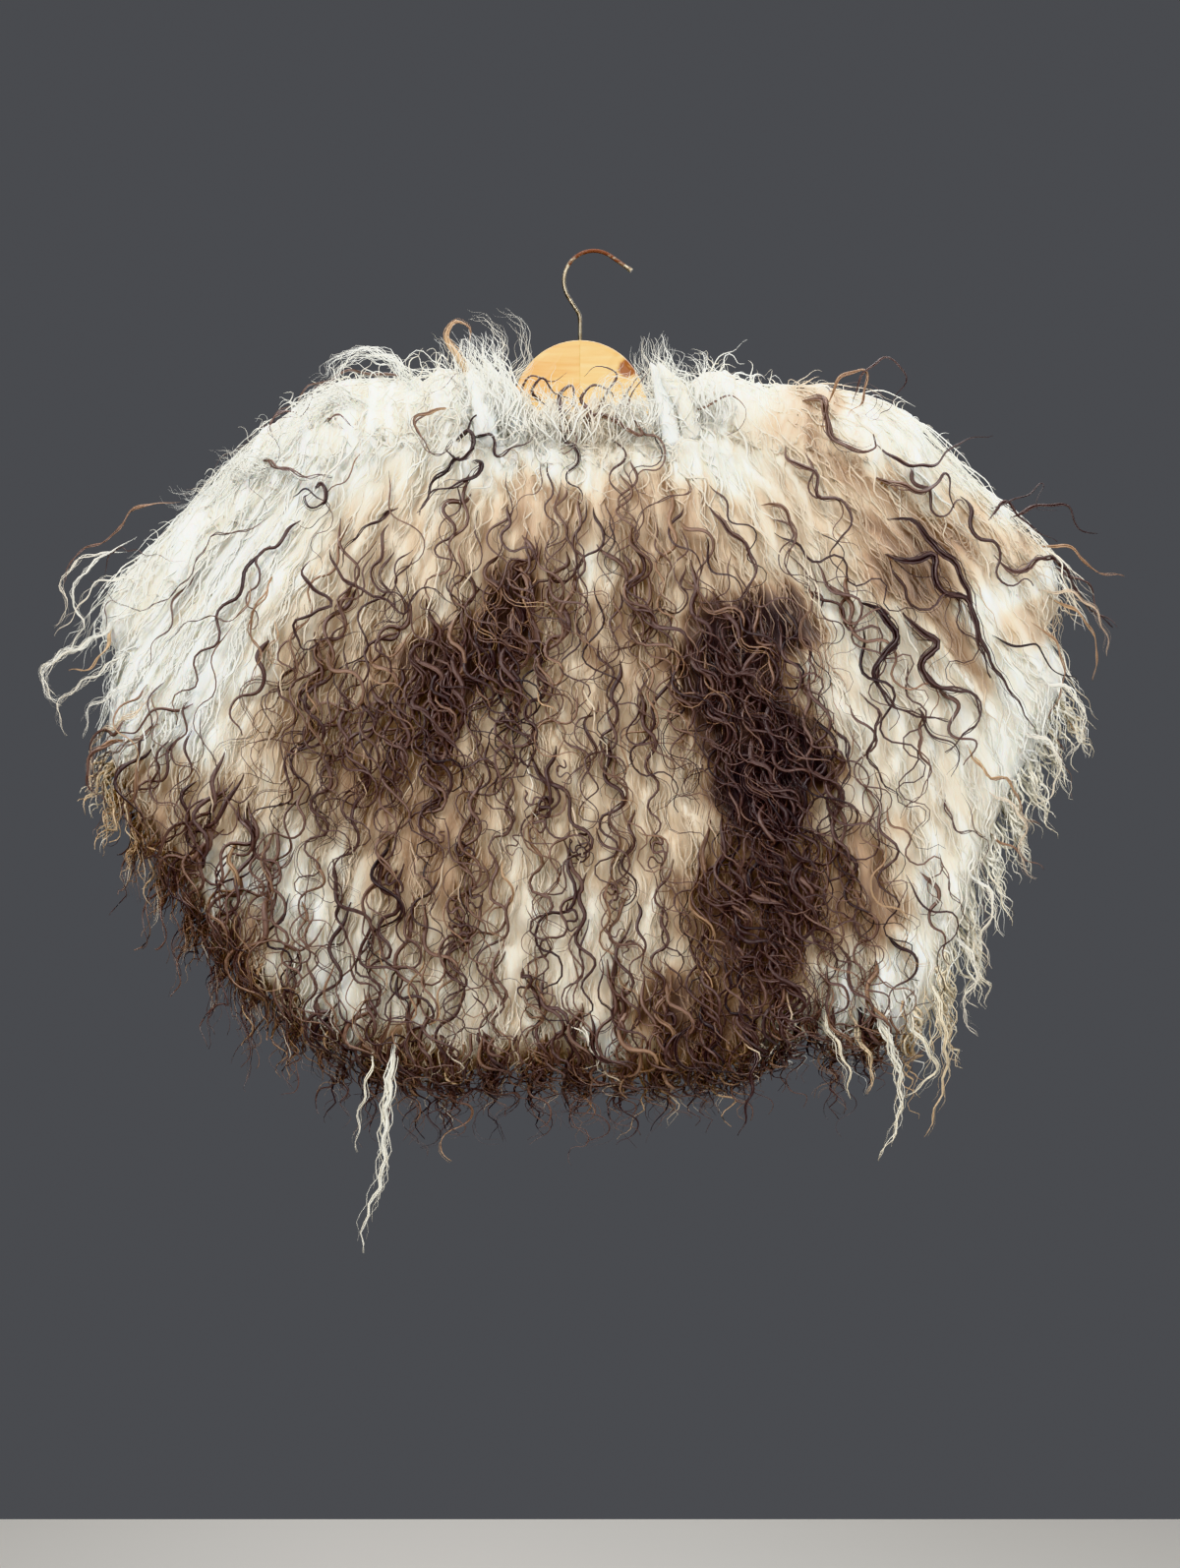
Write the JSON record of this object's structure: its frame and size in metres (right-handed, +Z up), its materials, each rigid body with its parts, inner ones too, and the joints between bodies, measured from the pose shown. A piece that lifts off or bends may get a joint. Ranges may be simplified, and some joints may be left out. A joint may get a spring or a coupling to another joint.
{
  "type": "sheepskin on a wooden coat hanger",
  "caption": "Long-woolled spotted sheepskin draped over a wooden coat hanger with a wire hook, for hanging on a wall or rail.",
  "frame": {"origin": "underside of the hook's crook at its top, where it rests on a nail, peg or rail", "axes": "+X to the right seen from the front, +Y towards the wall behind, +Z up; the wool side faces -Y"},
  "size_m": [0.8366, 0.1366, 0.8172],
  "materials": {
    "wire": "aged plated steel wire",
    "wood": "clear varnish",
    "wool": "long white and cream wool on tanned hide",
    "dark_wool": "long dark brown wool"
  },
  "bodies": {
    "root": {"hook": "wire", "hanger_left": "wood", "hanger_right": "wood", "sheepskin": "wool", "locks_neck": "wool", "locks_wing_left": "wool", "locks_wing_right": "wool", "locks_hem_left": "dark_wool", "locks_bottom_left": "dark_wool", "locks_bottom_right": "dark_wool", "locks_hem_right": "wool", "locks_back_left": "wool", "locks_back_right": "wool"}
  },
  "joints": []
}
